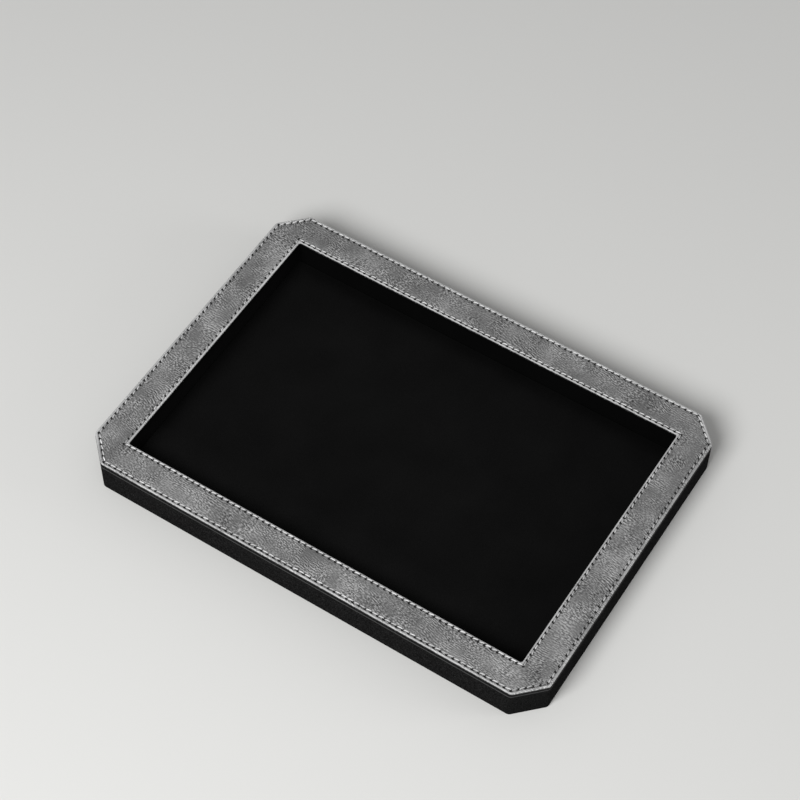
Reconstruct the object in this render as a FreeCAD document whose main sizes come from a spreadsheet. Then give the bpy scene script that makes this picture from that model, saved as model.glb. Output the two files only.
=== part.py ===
import FreeCAD, Part
import os
import Sketcher

# A jewellery display tray: four mitred rails on a base board, covered outside with black
# leatherette, lined inside with velvet, and topped by a stitched leather rim panel.
# Millimetres, +Z up. The origin is the middle of the underside, +X runs along the long side
# and -Y is the front.

# Driving dimensions. Each one is a cell of the sheet, under the same name.
SIZES = {
    # Overall form
    "tray_length": 280.0,
    "tray_width": 200.0,
    "tray_height": 22.0,
    "corner_clip": 14.5,  # leg of the even diagonal cut across each corner
    "corner_round": 3.0,  # radius of the upright edges beside the cut corners
    "rim_width": 18.9,  # from the outer face to the edge of the opening
    # Rim panel
    "panel_inset": 0.4,  # the panel's edge stands this far in from the outer face
    "panel_lip": 0.5,  # and this far out over the wall linings
    "panel_leather": 0.6,
    "panel_card": 0.6,
    "panel_turn_share": 0.36,  # of the panel's width, leather turned under at each edge
    "edge_roll": 0.7,  # radius of the turned leather edges
    "window_round": 1.0,  # corner radius of the opening
    # Stitching
    "stitch_inset": 1.7,  # from the panel's edge to the middle of the row
    "stitch_pitch": 3.7,
    "needle_gap": 0.9,  # bare length at each needle hole
    "thread_width": 0.6,
    "stitch_lean": 0.25,  # sideways step from one end of a stitch to the other
    "stitch_taper": 0.15,  # how far a stitch's crown draws in from its foot
    "channel_depth": 0.3,
    "channel_clear": 0.05,  # room beside the thread
    # Leatherette on the outside
    "wrap_skin": 0.6,
    "wrap_turn_share": 0.42,  # of the rail's width, turned over the rails and under the board
    "wrap_edge_round": 0.5,
    # Frame and base
    "base_thick": 2.0,
    "nail_leg": 8.0,
    "nail_gauge": 0.6,
    "nail_height_share": 0.6,  # of the rail's height
    "brad_end": 45.0,  # from the frame's corner to the first brad
    "brad_in_share": 0.62,  # of the rail's width, from its outer face to the brads
    "brad_shank": 1.2,  # square wire
    "brad_head": 2.4,  # length of the T-shaped head, as wide as the wire
    "brad_head_thick": 0.5,
    "brad_bite_share": 0.6,  # of the rail's height
    # Wall linings
    "lining_skin": 0.6,
    "lining_turn_share": 0.38,  # of the rail's width, turned over the rails' tops
    # Floor pad
    "floor_clear": 0.2,  # between the pad and the wall linings
    "floor_velvet": 0.4,
    "floor_card": 0.6,
    "floor_foam": 0.8,
    "floor_turn": 10.0,  # velvet turned under the card
    "floor_round": 0.6,
    # Bottom cover
    "cover_sheet": 0.4,
    "cover_edge_share": 0.5,  # of the turned-under leatherette, left uncovered
    "cover_clear": 0.2,
    # Largest share of a wall that a rounded edge may take
    "round_limit_share": 0.45,
}
# Places of the brads, as shares of the distance from a rail's middle to its last brad
LONG_BRAD_SHARES = (1, 1 / 3)
SHORT_BRAD_SHARES = (1,)

# Sketcher's numbers for the sketch's own origin and for the ends of a line
ORIGIN = -1
START, END = range(1, 3)

doc = FreeCAD.newDocument("JewelleryTray")
sheet = doc.addObject("Spreadsheet::Sheet", "Dims")
for row, (alias, value) in enumerate(SIZES.items(), 1):
    sheet.set(f"A{row}", alias)
    sheet.set(f"B{row}", str(value))
    sheet.setAlias(f"B{row}", alias)
doc.recompute()

# Derived widths, measured inwards from the outer face
RAIL_WIDTH = "(Dims.rim_width - Dims.wrap_skin - Dims.lining_skin - Dims.panel_lip)"
WRAP_TURN = f"(Dims.wrap_skin + {RAIL_WIDTH} * Dims.wrap_turn_share)"
LINING_TURN = f"({RAIL_WIDTH} * Dims.lining_turn_share)"
PANEL_TURN = "((Dims.rim_width - Dims.panel_inset) * Dims.panel_turn_share)"
STITCH_LINE = "(Dims.panel_inset + Dims.stitch_inset)"
INNER_STITCH_LINE = "(Dims.rim_width - Dims.stitch_inset)"
HALF_CHANNEL = "(Dims.thread_width / 2 + Dims.stitch_lean / 2 + Dims.channel_clear)"

# Derived heights, from the underside up
BOARD_Z = "(Dims.cover_sheet + Dims.wrap_skin)"
RAIL_Z = f"({BOARD_Z} + Dims.base_thick)"
PANEL_THICK = "(2 * Dims.panel_leather + Dims.panel_card)"
PANEL_Z = f"(Dims.tray_height - {PANEL_THICK})"
RAIL_TOP = f"({PANEL_Z} - Dims.wrap_skin)"
RAIL_HEIGHT = f"({RAIL_TOP} - {RAIL_Z})"
NAIL_HEIGHT = f"({RAIL_HEIGHT} * Dims.nail_height_share)"
BRAD_BITE = f"({RAIL_HEIGHT} * Dims.brad_bite_share)"
CARD_Z = f"({RAIL_Z} + Dims.floor_velvet)"
FOAM_Z = f"({CARD_Z} + Dims.floor_card)"
PAD_THICK = "(2 * Dims.floor_velvet + Dims.floor_card + Dims.floor_foam)"

# An even inset shortens the leg of a corner cut by this share of the inset
CLIP_SHARE = "(2 - sqrt(2))"

# The frame inside the leatherette, and how far in the nails' bends stand from its faces
CORE_X = "(Dims.tray_length / 2 - Dims.wrap_skin)"
CORE_Y = "(Dims.tray_width / 2 - Dims.wrap_skin)"
CORE_CLIP = f"(Dims.corner_clip - Dims.wrap_skin * {CLIP_SHARE})"
NAIL_IN = f"(({RAIL_WIDTH} + {CORE_CLIP} / 2) / 2)"
NAIL_LENGTH = "Dims.nail_leg + Dims.nail_gauge / 2"
BRAD_IN = f"({RAIL_WIDTH} * Dims.brad_in_share)"


def size(expression):
    """The present value of an expression on the sheet."""
    return float(sheet.evalExpression(expression))


def new_body(label):
    body = doc.addObject("PartDesign::Body", label)
    body.Label = label
    return body


def new_sketch(body, name, height):
    """A level sketch of the body at a height above the underside."""
    sketch = body.newObject("Sketcher::SketchObject", f"{body.Label}_{name}")
    level = next(plane for plane in body.Origin.OriginFeatures if plane.Role == "XY_Plane")
    sketch.AttachmentSupport = (level, [""])
    sketch.MapMode = "FlatFace"
    sketch.setExpression("AttachmentOffset.Base.z", height)
    return sketch


def tie(sketch, kind, expression, *points):
    """Adds a dimension to a sketch and binds it to the sheet."""
    index = sketch.addConstraint(Sketcher.Constraint(kind, *points, size(expression)))
    sketch.setExpression(f"Constraints[{index}]", expression)


def add_outline(sketch, corners):
    """A closed outline whose corners are pairs of expressions."""
    places = [FreeCAD.Vector(size(x), size(y), 0) for x, y in corners]
    first = sketch.GeometryCount
    last = first + len(corners) - 1
    for start, end in zip(places, places[1:] + places[:1]):
        sketch.addGeometry(Part.LineSegment(start, end))
    for side in range(first, last + 1):
        following = first if side == last else side + 1
        sketch.addConstraint(Sketcher.Constraint("Coincident", side, END, following, START))
    for side, (x, y) in enumerate(corners, first):
        tie(sketch, "DistanceX", x, ORIGIN, START, side, START)
        tie(sketch, "DistanceY", y, ORIGIN, START, side, START)


def add_rectangle(sketch, x, y, length, width):
    """A rectangle about a centre, with its length along X."""
    low_x = f"{x} - {length} / 2"
    high_x = f"{x} + {length} / 2"
    low_y = f"{y} - {width} / 2"
    high_y = f"{y} + {width} / 2"
    add_outline(sketch, [(low_x, low_y), (high_x, low_y), (high_x, high_y), (low_x, high_y)])


def mirrored(corners):
    """Corners of the +X half, and the same again across the Y axis."""
    return corners + [(f"-({x})", y) for x, y in reversed(corners)]


def in_four_quarters(corners):
    """Corners of the first quarter, repeated across both axes."""
    upper = mirrored(corners)
    return upper + [(x, f"-({y})") for x, y in reversed(upper)]


def clipped_outline(inset):
    """The tray's outline, moved in evenly on every side."""
    x = f"(Dims.tray_length / 2 - {inset})"
    y = f"(Dims.tray_width / 2 - {inset})"
    clip = f"(Dims.corner_clip - {inset} * {CLIP_SHARE})"
    return in_four_quarters([(x, f"{y} - {clip}"), (f"{x} - {clip}", y)])


def square_outline(inset):
    """A square-cornered rectangle, as far in from the outer face as the inset."""
    corner = (f"Dims.tray_length / 2 - {inset}", f"Dims.tray_width / 2 - {inset}")
    return in_four_quarters([corner])


def pad(body, sketch, name, height):
    feature = body.newObject("PartDesign::Pad", f"{body.Label}_{name}")
    feature.Profile = sketch
    feature.setExpression("Length", height)
    doc.recompute()


def pocket_up(body, sketch, name, height=None):
    """Cuts upwards from a sketch, right through where no height is given."""
    before = body.Shape.Volume
    feature = body.newObject("PartDesign::Pocket", f"{body.Label}_{name}")
    feature.Profile = sketch
    feature.Reversed = True
    if height is None:
        feature.Type = "ThroughAll"
    else:
        feature.setExpression("Length", height)
    doc.recompute()
    if not body.Shape.Volume < before:
        raise ValueError(f"{feature.Name} cuts nothing")


def round_edges(body, name, radius, wanted):
    """Rounds the edges of the body that the test picks out."""
    base = body.Tip
    edges = [f"Edge{i}" for i, edge in enumerate(base.Shape.Edges, 1) if wanted(edge)]
    feature = body.newObject("PartDesign::Fillet", f"{body.Label}_{name}")
    feature.Base = (base, edges)
    feature.setExpression("Radius", radius)
    doc.recompute()


def limited(radius, wall):
    """A radius, held to what the wall can take."""
    return f"min({radius}; {wall} * Dims.round_limit_share)"


def is_upright(edge):
    low, high = edge.BoundBox.ZMin, edge.BoundBox.ZMax
    return high - low > edge.BoundBox.DiagonalLength / 2


def in_window(edge):
    """True for an edge beside the tray's opening."""
    middle = edge.BoundBox.Center
    past_x = abs(middle.x) > size("Dims.tray_length / 2 - Dims.rim_width / 2")
    past_y = abs(middle.y) > size("Dims.tray_width / 2 - Dims.rim_width / 2")
    return not past_x and not past_y


def turned(quarters):
    """A place at the origin, turned by quarter turns about Z."""
    turn = FreeCAD.Rotation(FreeCAD.Vector(0, 0, 1), 90 * quarters)
    return FreeCAD.Placement(FreeCAD.Vector(), turn)


def brad_places():
    """Where the brads stand: along both long rails, then along both short ones."""
    row_x = f"({CORE_X} - {BRAD_IN})"
    row_y = f"({CORE_Y} - {BRAD_IN})"
    long_run = [(f"({CORE_X} - Dims.brad_end) * {share}", row_y) for share in LONG_BRAD_SHARES]
    short_run = [(row_x, f"({CORE_Y} - Dims.brad_end) * {share}") for share in SHORT_BRAD_SHARES]
    return in_four_quarters(long_run) + in_four_quarters(short_run)


def make_base_board():
    body = new_body("base_board")
    plan = new_sketch(body, "plan", BOARD_Z)
    add_outline(plan, clipped_outline("Dims.wrap_skin"))
    pad(body, plan, "plate", "Dims.base_thick")
    holes = new_sketch(body, "holes", BOARD_Z)
    heads = new_sketch(body, "heads", BOARD_Z)
    for x, y in brad_places():
        add_rectangle(holes, x, y, "Dims.brad_shank", "Dims.brad_shank")
        add_rectangle(heads, x, y, "Dims.brad_head", "Dims.brad_shank")
    pocket_up(body, holes, "brad_holes")
    pocket_up(body, heads, "head_seats", "Dims.brad_head_thick")
    return body


def make_rail(label, half_along, half_across, brad_shares, quarters):
    """A rail drawn at the rear, with its outer face to +Y, and turned to its side of the tray."""
    body = new_body(label)
    plan = new_sketch(body, "plan", RAIL_Z)
    inner = (f"{half_along} - {RAIL_WIDTH}", f"{half_across} - {RAIL_WIDTH}")
    mitre = (f"{half_along} - {CORE_CLIP} / 2", f"{half_across} - {CORE_CLIP} / 2")
    outer = (f"{half_along} - {CORE_CLIP}", half_across)
    add_outline(plan, mirrored([inner, mitre, outer]))
    pad(body, plan, "bar", RAIL_HEIGHT)

    slots = new_sketch(body, "slots", RAIL_Z)
    slot_middle = f"({half_along} - {NAIL_IN} + Dims.nail_gauge / 4 - Dims.nail_leg / 2)"
    for x, y in mirrored([(slot_middle, f"({half_across} - {NAIL_IN})")]):
        add_rectangle(slots, x, y, f"({NAIL_LENGTH})", "Dims.nail_gauge")
    pocket_up(body, slots, "nail_slots", NAIL_HEIGHT)

    holes = new_sketch(body, "holes", RAIL_Z)
    row = f"({half_across} - {BRAD_IN})"
    run = [(f"({half_along} - Dims.brad_end) * {share}", row) for share in brad_shares]
    for x, y in mirrored(run):
        add_rectangle(holes, x, y, "Dims.brad_shank", "Dims.brad_shank")
    pocket_up(body, holes, "brad_holes", BRAD_BITE)
    body.Placement = turned(quarters)
    return body


def make_lining(label, half_along, half_across, quarters):
    """Velvet down one rail's inner face and turned over its top, mitred at both ends."""
    body = new_body(label)
    back = (f"{half_along} - {RAIL_WIDTH}", f"{half_across} - {RAIL_WIDTH}")
    face = (f"{back[0]} - Dims.lining_skin", f"{back[1]} - Dims.lining_skin")
    edge = (f"{back[0]} + {LINING_TURN}", f"{back[1]} + {LINING_TURN}")
    wall = new_sketch(body, "wall", RAIL_Z)
    add_outline(wall, mirrored([face, back]))
    pad(body, wall, "leaf", f"{RAIL_HEIGHT} + Dims.wrap_skin")
    over = new_sketch(body, "over", RAIL_TOP)
    add_outline(over, mirrored([face, edge]))
    pad(body, over, "turn_over", "Dims.wrap_skin")
    body.Placement = turned(quarters)
    return body


def make_v_nails():
    """One V-nail across the rear right mitre, mirrored to the other three corners."""
    spots = {
        "nail_leg_x": (NAIL_LENGTH, "Dims.nail_gauge", "Dims.nail_leg", "Dims.nail_gauge / 2"),
        "nail_leg_y": ("Dims.nail_gauge", NAIL_LENGTH, "Dims.nail_gauge / 2", "Dims.nail_leg"),
    }
    legs = []
    for name, (along_x, along_y, back_x, back_y) in spots.items():
        leg = doc.addObject("Part::Box", name)
        leg.setExpression("Length", along_x)
        leg.setExpression("Width", along_y)
        leg.setExpression("Height", NAIL_HEIGHT)
        leg.setExpression("Placement.Base.x", f"{CORE_X} - {NAIL_IN} - {back_x}")
        leg.setExpression("Placement.Base.y", f"{CORE_Y} - {NAIL_IN} - {back_y}")
        leg.setExpression("Placement.Base.z", RAIL_Z)
        legs.append(leg)
    nail = doc.addObject("Part::Fuse", "rear_right_nail")
    nail.Base, nail.Tool = legs
    nail.Refine = True
    rear_left = mirror_image(nail, "rear_left_nail", FreeCAD.Vector(1, 0, 0))
    front_right = mirror_image(nail, "front_right_nail", FreeCAD.Vector(0, 1, 0))
    front_left = mirror_image(rear_left, "front_left_nail", FreeCAD.Vector(0, 1, 0))
    group = doc.addObject("Part::Compound", "corner_v_nails")
    group.Label = "corner_v_nails"
    group.Links = [nail, rear_left, front_right, front_left]
    doc.recompute()
    return group


def mirror_image(source, name, normal):
    image = doc.addObject("Part::Mirroring", name)
    image.Source = source
    image.Normal = normal
    return image


def make_brads():
    """T-headed brads, driven up through the base board into the rails."""
    wire = size("Dims.brad_shank")
    head_length = size("Dims.brad_head")
    head = Part.makeBox(head_length, wire, size("Dims.brad_head_thick"))
    shank = Part.makeBox(wire, wire, size(f"Dims.base_thick + {BRAD_BITE}"))
    head.translate(FreeCAD.Vector(-head_length / 2, -wire / 2, 0))
    shank.translate(FreeCAD.Vector(-wire / 2, -wire / 2, 0))
    brad = head.fuse(shank).removeSplitter()
    spots = [FreeCAD.Vector(size(x), size(y), size(BOARD_Z)) for x, y in brad_places()]
    return group_of("base_brads", [brad.translated(spot) for spot in spots])


def group_of(label, solids):
    """One node of separate solids."""
    group = doc.addObject("Part::Feature", label)
    group.Label = label
    group.Shape = Part.makeCompound(solids)
    group.Placement = FreeCAD.Placement()
    return group


def make_side_wrap():
    """Leatherette skin: a C in section, round the frame and in over its top and underside."""
    body = new_body("side_wrap")
    plan = new_sketch(body, "plan", "Dims.cover_sheet")
    add_outline(plan, clipped_outline("0"))
    pad(body, plan, "block", f"{PANEL_Z} - Dims.cover_sheet")
    round_edges(body, "corners", "Dims.corner_round", is_upright)
    edge_radius = limited("Dims.wrap_edge_round", f"({PANEL_Z} - Dims.cover_sheet)")
    round_edges(body, "arrises", edge_radius, lambda e: not is_upright(e))
    core = new_sketch(body, "core", BOARD_Z)
    add_outline(core, clipped_outline("Dims.wrap_skin"))
    pocket_up(body, core, "frame_space", f"{RAIL_TOP} - {BOARD_Z}")
    window = new_sketch(body, "window", "Dims.cover_sheet")
    add_outline(window, clipped_outline(WRAP_TURN))
    pocket_up(body, window, "turn_ins")
    return body


def make_bottom_cover():
    """Felt sheet that laps over the turned-under leatherette and steps up to the board inside it."""
    body = new_body("bottom_cover")
    band = new_sketch(body, "band", "0")
    add_outline(band, clipped_outline(f"({WRAP_TURN} * Dims.cover_edge_share)"))
    pad(body, band, "lap", "Dims.cover_sheet")
    step_in = f"({WRAP_TURN} + Dims.cover_clear)"
    middle = new_sketch(body, "middle", "0")
    add_outline(middle, clipped_outline(step_in))
    pad(body, middle, "step", BOARD_Z)
    hollow = new_sketch(body, "hollow", "0")
    add_outline(hollow, clipped_outline(f"({step_in} + Dims.cover_sheet)"))
    pocket_up(body, hollow, "underside", "Dims.wrap_skin")
    return body


def add_panel_ring(sketch, margin):
    """The rim panel's plan, drawn in by a margin from its outer edge and from its opening."""
    add_outline(sketch, clipped_outline(f"(Dims.panel_inset + {margin})"))
    add_outline(sketch, square_outline(f"(Dims.rim_width - {margin})"))


def make_rim_leather():
    """Leather round the card: rolled edges, turned under, with a sunk channel for each row."""
    body = new_body("rim_leather")
    plan = new_sketch(body, "plan", PANEL_Z)
    add_panel_ring(plan, "0")
    pad(body, plan, "panel", PANEL_THICK)
    round_edges(body, "corners", "Dims.corner_round", lambda e: is_upright(e) and not in_window(e))
    round_edges(body, "window", "Dims.window_round", lambda e: is_upright(e) and in_window(e))
    roll = limited("Dims.edge_roll", PANEL_THICK)
    middle_z = size(f"{PANEL_Z} + {PANEL_THICK} / 2")
    round_edges(body, "rolled_edges", roll, lambda e: e.BoundBox.ZMin > middle_z)
    space = new_sketch(body, "space", f"{PANEL_Z} + Dims.panel_leather")
    add_panel_ring(space, "Dims.panel_leather")
    pocket_up(body, space, "card_space", "Dims.panel_card")
    under = new_sketch(body, "under", PANEL_Z)
    add_panel_ring(under, PANEL_TURN)
    pocket_up(body, under, "turned_edges", "Dims.panel_leather")
    channels = new_sketch(body, "channels", "Dims.tray_height - Dims.channel_depth")
    add_panel_ring(channels, f"(Dims.stitch_inset - {HALF_CHANNEL})")
    add_panel_ring(channels, f"(Dims.stitch_inset + {HALF_CHANNEL})")
    pocket_up(body, channels, "stitch_channels")
    return body


def make_rim_card():
    body = new_body("rim_card")
    plan = new_sketch(body, "plan", f"{PANEL_Z} + Dims.panel_leather")
    add_panel_ring(plan, "Dims.panel_leather")
    pad(body, plan, "ring", "Dims.panel_card")
    return body


def make_stitching(label, corners):
    """Stitches laid end to end in a channel, with a needle hole at every corner of the row."""
    channel_z = size("Dims.tray_height - Dims.channel_depth")
    places = [FreeCAD.Vector(size(x), size(y), channel_z) for x, y in corners]
    stitches = []
    for start, end in zip(places, places[1:] + places[:1]):
        run = end - start
        count = max(1, round(run.Length / size("Dims.stitch_pitch")))
        stitch = one_stitch(run.Length / count - size("Dims.needle_gap"))
        facing = FreeCAD.Rotation(FreeCAD.Vector(1, 0, 0), run)
        for step in range(count):
            middle = start + run * ((step + 0.5) / count)
            stitches.append(stitch.transformed(FreeCAD.Placement(middle, facing).toMatrix()))
    return group_of(label, stitches)


def one_stitch(length):
    """A visible stitch: a low crowned bar that leans across its row."""
    half_width = size("Dims.thread_width / 2")
    lean = size("Dims.stitch_lean / 2")
    foot = stitch_outline(length / 2, half_width, lean, 0)
    draw_in = size("Dims.stitch_taper")
    crown = stitch_outline(length / 2 - draw_in, half_width - draw_in, lean, size("Dims.channel_depth"))
    return Part.makeLoft([foot, crown], True, True)


def stitch_outline(half_length, half_width, lean, height):
    """A level four-sided outline, leaning from one end to the other."""
    ends = [(-half_length, -lean), (half_length, lean)]
    near_side = [FreeCAD.Vector(x, y - half_width, height) for x, y in ends]
    far_side = [FreeCAD.Vector(x, y + half_width, height) for x, y in reversed(ends)]
    return Part.makePolygon(near_side + far_side + near_side[:1])


def floor_outline(inset):
    """The floor pad's rectangle, moved in from the pad's own edge."""
    wall_face = f"(Dims.wrap_skin + {RAIL_WIDTH} + Dims.lining_skin)"
    return square_outline(f"({wall_face} + Dims.floor_clear + {inset})")


def make_floor_velvet():
    """Velvet over the pad's foam and card, turned under the card all round."""
    body = new_body("floor_velvet")
    plan = new_sketch(body, "plan", RAIL_Z)
    add_outline(plan, floor_outline("0"))
    pad(body, plan, "pad", PAD_THICK)
    middle_z = size(f"{RAIL_Z} + {PAD_THICK} / 2")
    radius = limited("Dims.floor_round", PAD_THICK)
    round_edges(body, "corners", "Dims.floor_round", is_upright)
    round_edges(body, "top_edges", radius, lambda e: e.BoundBox.ZMin > middle_z)
    space = new_sketch(body, "space", CARD_Z)
    add_outline(space, floor_outline("Dims.floor_velvet"))
    pocket_up(body, space, "filling_space", "Dims.floor_card + Dims.floor_foam")
    under = new_sketch(body, "under", RAIL_Z)
    add_outline(under, floor_outline("Dims.floor_turn"))
    pocket_up(body, under, "turned_edges", "Dims.floor_velvet")
    return body


def make_floor_layer(label, height, thickness):
    """A flat layer of the floor pad, inside the velvet."""
    body = new_body(label)
    plan = new_sketch(body, "plan", height)
    add_outline(plan, floor_outline("Dims.floor_velvet"))
    pad(body, plan, "sheet", thickness)
    return body


pieces = [
    make_base_board(),
    make_rail("rear_rail", CORE_X, CORE_Y, LONG_BRAD_SHARES, 0),
    make_rail("left_rail", CORE_Y, CORE_X, SHORT_BRAD_SHARES, 1),
    make_rail("front_rail", CORE_X, CORE_Y, LONG_BRAD_SHARES, 2),
    make_rail("right_rail", CORE_Y, CORE_X, SHORT_BRAD_SHARES, 3),
    make_v_nails(),
    make_brads(),
    make_side_wrap(),
    make_bottom_cover(),
    make_lining("rear_lining", CORE_X, CORE_Y, 0),
    make_lining("left_lining", CORE_Y, CORE_X, 1),
    make_lining("front_lining", CORE_X, CORE_Y, 2),
    make_lining("right_lining", CORE_Y, CORE_X, 3),
    make_rim_leather(),
    make_rim_card(),
    make_stitching("outer_stitching", clipped_outline(STITCH_LINE)),
    make_stitching("inner_stitching", square_outline(INNER_STITCH_LINE)),
    make_floor_layer("floor_card", CARD_Z, "Dims.floor_card"),
    make_floor_layer("floor_foam", FOAM_Z, "Dims.floor_foam"),
    make_floor_velvet(),
]
doc.recompute()

for item in doc.Objects:
    if "Invalid" in item.State or "Error" in item.State:
        raise RuntimeError(f"{item.Label} failed: {item.State}")
for piece in pieces:
    if piece.Shape.isNull() or not piece.Shape.isValid():
        raise RuntimeError(f"{piece.Label} has no valid shape")

os.makedirs("parts", exist_ok=True)
for piece in pieces:
    piece.Shape.exportStep(f"parts/{piece.Label}.step")
    box = piece.Shape.BoundBox
    print(f"{piece.Label}: {box.XLength:.2f} x {box.YLength:.2f} x {box.ZLength:.2f} mm,"
          f" {len(piece.Shape.Solids)} solid(s), {piece.Shape.Volume:.0f} mm3")
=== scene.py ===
# %% [markdown]
# A jewellery tray, dressed in Blender.
# The tray is a shallow frame: black leatherette round the outside, black velvet inside, and on
# top of the rim a grey leather panel with two rows of pale stitching. The measured frame is
# loaded first. It never moves, and every piece below is made straight in its place.

# %% Load the measured frame
import math

import bmesh
import bpy
import numpy as np
from mathutils import Matrix, Vector, noise


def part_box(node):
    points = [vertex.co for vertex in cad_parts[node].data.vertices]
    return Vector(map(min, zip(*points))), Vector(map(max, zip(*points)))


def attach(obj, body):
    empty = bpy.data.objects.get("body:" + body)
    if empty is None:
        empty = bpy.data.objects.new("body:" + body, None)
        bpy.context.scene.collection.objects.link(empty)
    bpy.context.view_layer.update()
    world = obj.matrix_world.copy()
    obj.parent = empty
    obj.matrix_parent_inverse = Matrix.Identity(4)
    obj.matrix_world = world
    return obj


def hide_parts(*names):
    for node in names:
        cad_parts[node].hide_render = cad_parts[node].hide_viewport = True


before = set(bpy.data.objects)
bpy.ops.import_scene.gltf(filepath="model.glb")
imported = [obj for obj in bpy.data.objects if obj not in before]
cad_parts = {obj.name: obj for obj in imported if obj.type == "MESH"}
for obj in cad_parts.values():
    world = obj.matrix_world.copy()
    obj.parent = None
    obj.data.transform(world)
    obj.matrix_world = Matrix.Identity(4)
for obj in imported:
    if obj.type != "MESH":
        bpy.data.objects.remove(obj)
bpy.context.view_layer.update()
MM = 0.001
HAIR = 0.01 * MM  # places closer than this count as the same

# %% [markdown]
# The camera stands where the photographer stood: to the right of the front, looking down at
# about 55 degrees through a long lens. Its place was worked out from the stitch rows and the
# edges of the rim, so it is written as a point, a direction and a small roll.

# %% Camera
RIM_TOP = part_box("rim_leather")[1].z
EYE = Vector((345.11 * MM, -567.16 * MM, 987.51 * MM + RIM_TOP))
LOOK = Vector((-0.299109, 0.487754, -0.820140))
ROLL = math.radians(1.08)
FIELD_OF_VIEW = math.radians(20.242)

level = LOOK.cross(Vector((0, 0, 1))).normalized()
upright = level.cross(LOOK)
sideways = level * math.cos(ROLL) + upright * math.sin(ROLL)
turn = Matrix((sideways, sideways.cross(LOOK), -LOOK)).transposed()
bpy.ops.object.camera_add(location=EYE, rotation=turn.to_euler())
camera = bpy.context.object
camera.data.sensor_fit = "HORIZONTAL"
camera.data.angle = FIELD_OF_VIEW
bpy.context.scene.camera = camera
print("camera:", round(EYE.length / MM), "mm from the tray")

# %% [markdown]
# Materials come from one small function that adds a node with its settings and links, and one
# that turns a written sRGB colour into the linear numbers that shaders use. What sets the inputs
# of a new node also sets those of the shader. Patterns read Object coordinates, scaled once to
# millimetres, so every pattern size below is a real one in millimetres.

# %% Helpers for materials
def linear(colour):
    """An sRGB hex colour as linear red, green, blue and alpha."""
    shares = [int(colour[i:i + 2], 16) / 255 for i in (1, 3, 5)]
    return [s / 12.92 if s <= 0.04045 else ((s + 0.055) / 1.055) ** 2.4 for s in shares] + [1.0]


def set_inputs(tree, node, inputs):
    """Sets inputs of a node, each to a plain value or by a link from another node's output."""
    for name, value in inputs.items():
        if isinstance(value, bpy.types.NodeSocket):
            tree.links.new(value, node.inputs[name])
        else:
            node.inputs[name].default_value = value


def put(tree, kind, inputs=None, stops=(), **settings):
    """Adds a shader node. The stops of a colour ramp are pairs of a position and an sRGB colour."""
    node = tree.nodes.new("ShaderNode" + kind)
    for name, value in settings.items():
        setattr(node, name, value)
    set_inputs(tree, node, inputs or {})
    for index, (position, colour) in enumerate(stops):
        ramp = node.color_ramp.elements
        stop = ramp[index] if index < len(ramp) else ramp.new(position)
        stop.position = position
        stop.color = linear(colour)
    return node


def new_material(name):
    """An empty material: its node tree, its shader and its place in millimetres."""
    material = bpy.data.materials.new(name)
    material.use_nodes = True
    tree = material.node_tree
    shader = tree.nodes["Principled BSDF"]
    place = put(tree, "TexCoord").outputs["Object"]
    millimetres = put(tree, "Mapping", {"Vector": place, "Scale": (1 / MM,) * 3}).outputs["Vector"]
    return material, tree, shader, millimetres


print("material helpers ready")

# %% [markdown]
# The stage is a plain pale floor under soft studio light. One large soft lamp stands in front,
# half way up the sky, as in the photograph, where the front of the tray is lighter than its right
# side, and where every edge that is turned to the front shines. A weak lamp stands low on the
# right, so that the right side is not lost in the dark, and an even pale sky fills the rest. They
# add up to about one on a level surface, so a colour renders as it is written.

# %% Stage
SKY_LEVEL = 0.34
STAGE_SIZE = 12.0  # metres
STAGE_GAP = 0.05 * MM  # between the floor and the felt, so that the two never touch
LAMPS = {  # place in metres, size and watts
    "front_lamp": (Vector((-0.05, -1.25, 1.25)), 0.9, 30.2),
    "low_right_lamp": (Vector((1.25, 0.55, 0.3)), 0.6, 4.2),
}

world = bpy.data.worlds.new("pale_studio")
bpy.context.scene.world = world
world.use_nodes = True
sky = world.node_tree.nodes["Background"]
set_inputs(world.node_tree, sky, {"Color": linear("#f4f4f4"), "Strength": SKY_LEVEL})

for name, (stand, size, watts) in LAMPS.items():
    aim = (-stand).to_track_quat("-Z", "Y").to_euler()
    bpy.ops.object.light_add(type="AREA", location=stand, rotation=aim)
    lamp = bpy.context.object
    lamp.name = name
    lamp.data.shape = "DISK"
    lamp.data.size = size
    lamp.data.energy = watts

bpy.ops.mesh.primitive_plane_add(size=STAGE_SIZE, location=(0, 0, -STAGE_GAP))
floor = bpy.context.object
floor.name = "studio_floor"
floor_paint, tree, shader, _ = new_material("matt_studio_board")
set_inputs(tree, shader, {"Base Color": linear("#d6d6d4"), "Roughness": 0.9})
floor.data.materials.append(floor_paint)
bpy.context.scene.view_settings.view_transform = "Standard"
print("stage:", len(LAMPS), "lamps and a sky of", SKY_LEVEL)

# %% [markdown]
# Modelling by script works as it does by hand: add a primitive, open it in edit mode, pick some
# faces or edges, and run an operator on them. These helpers do the picking, by place or
# direction, and keep everything else deselected, because an operator acts on all that is picked.

# %% Helpers for modelling
LEVEL = 0.99  # a face lies level when the upright part of its normal passes this


def deselect_all():
    if bpy.context.object and bpy.context.object.mode != "OBJECT":
        bpy.ops.object.mode_set(mode="OBJECT")
    bpy.ops.object.select_all(action="DESELECT")


def make_active(piece):
    deselect_all()
    piece.select_set(True)
    bpy.context.view_layer.objects.active = piece


def open_piece(piece):
    make_active(piece)
    bpy.ops.object.mode_set(mode="EDIT")


def named(name):
    """Names the primitive that was just added, and puts its place and size into its mesh."""
    piece = bpy.context.object
    piece.name = name
    piece.data.name = name
    bpy.ops.object.transform_apply(location=True, rotation=True, scale=True)
    return piece


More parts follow.
